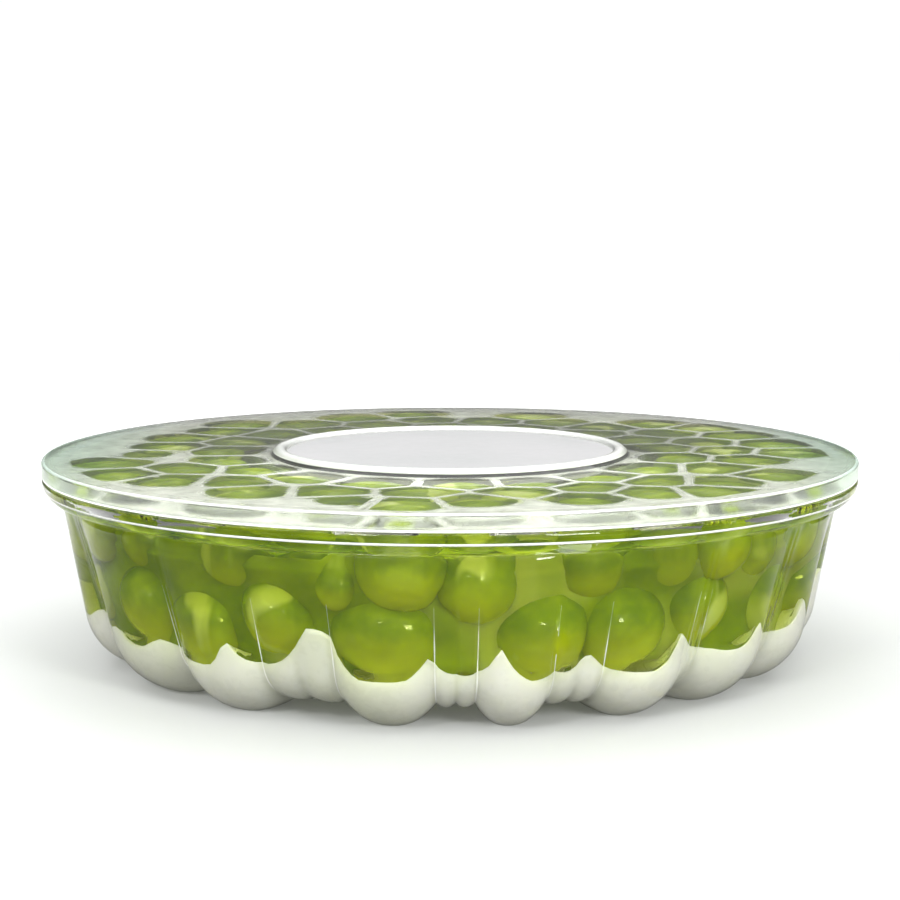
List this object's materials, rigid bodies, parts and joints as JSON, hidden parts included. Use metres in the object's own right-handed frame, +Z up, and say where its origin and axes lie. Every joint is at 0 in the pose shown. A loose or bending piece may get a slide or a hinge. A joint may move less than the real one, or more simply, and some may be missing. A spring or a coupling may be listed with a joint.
{
  "type": "moulded fruit jelly in its mould with plate",
  "caption": "Two-layer fruit jelly, white below and clear green above, in a clear fluted ring mould with a glass plate laid upside down on its rim.",
  "frame": {"origin": "on the floor under the centre of the mould, at the level of the lobes' feet", "axes": "+Z up along the mould's axis, out through the plate; -Y towards the side seen from the front; +X to the right of it"},
  "size_m": [0.25, 0.25, 0.0635],
  "materials": {
    "plate_glass": "clear gloss with a green edge",
    "clear_mould": "clear gloss",
    "clear_jelly": "clear wet gloss",
    "milk_jelly": "milky, soft gloss",
    "grape_skin": "translucent gloss"
  },
  "bodies": {
    "root": {"glass_plate": "plate_glass", "mould": "clear_mould", "mould_chimney": "clear_mould", "clear_jelly": "clear_jelly", "milk_jelly": "milk_jelly"}
  },
  "joints": []
}
